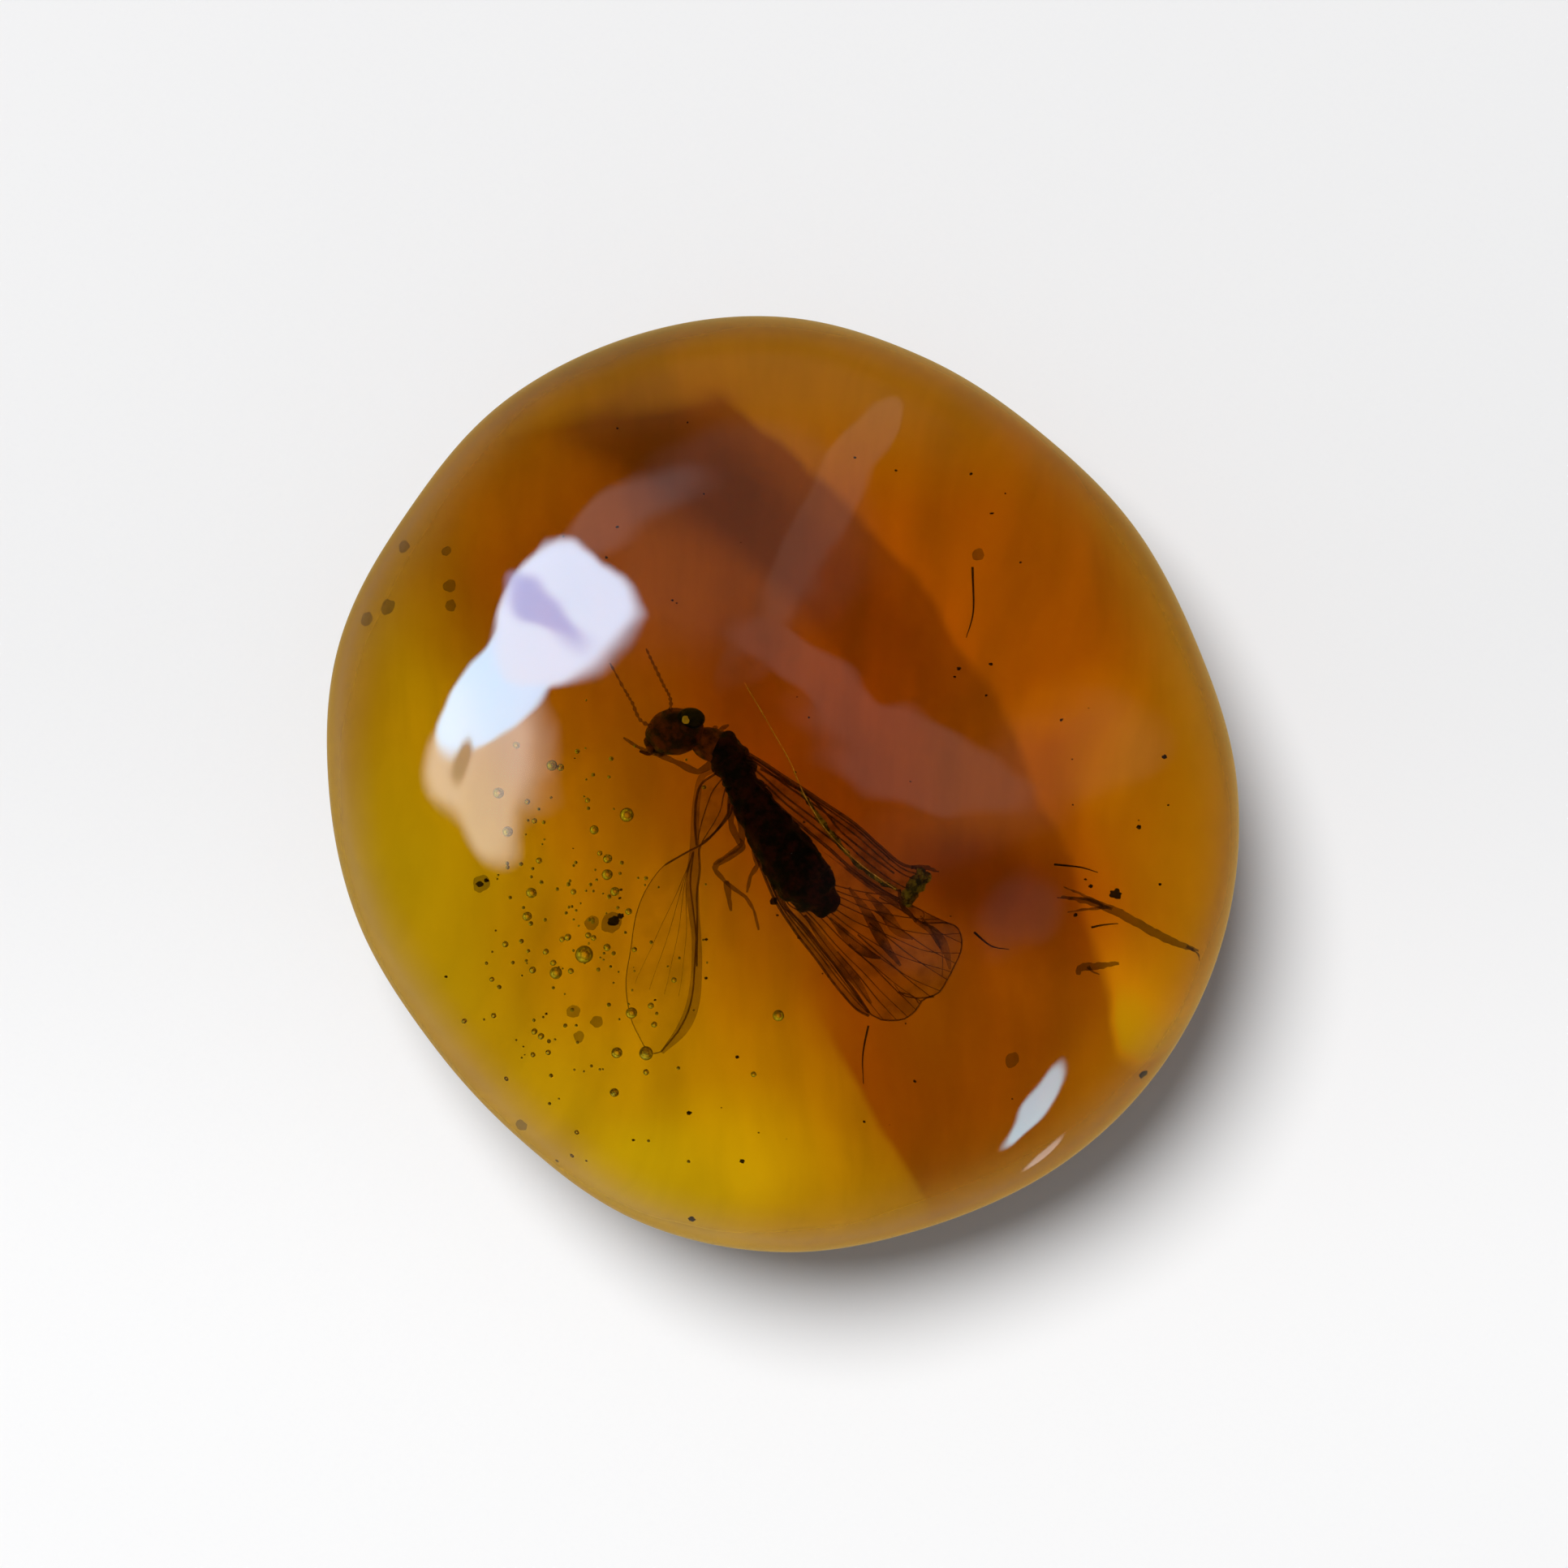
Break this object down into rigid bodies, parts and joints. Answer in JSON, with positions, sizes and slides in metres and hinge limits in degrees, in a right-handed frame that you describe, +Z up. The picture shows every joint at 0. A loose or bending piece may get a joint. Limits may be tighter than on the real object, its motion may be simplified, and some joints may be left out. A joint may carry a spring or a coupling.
{
  "type": "insect in amber",
  "caption": "Polished pebble of clear amber with a winged insect, a plant splinter, a twig fragment, a fibre and a grain sealed inside; lies on its flat underside.",
  "frame": {"origin": "middle of the flat underside, on the surface that it lies on", "axes": "+Z up through the dome; the insect's head points towards -X and +Y, its wings towards +X and -Y"},
  "size_m": [0.0234, 0.024, 0.011],
  "materials": {
    "amber": "clear polished amber, honey to red-brown",
    "insect": "dark carbonised cuticle",
    "plant": "dark weathered plant fibre",
    "fibre": "pale glinting thread",
    "grain": "dark matt grain"
  },
  "bodies": {
    "root": {"amber_upper": "amber", "amber_lower": "amber", "insect": "insect", "plant_splinter": "plant", "twig_fragment": "plant", "silk_fibre": "fibre", "debris_grain": "grain"}
  },
  "joints": []
}
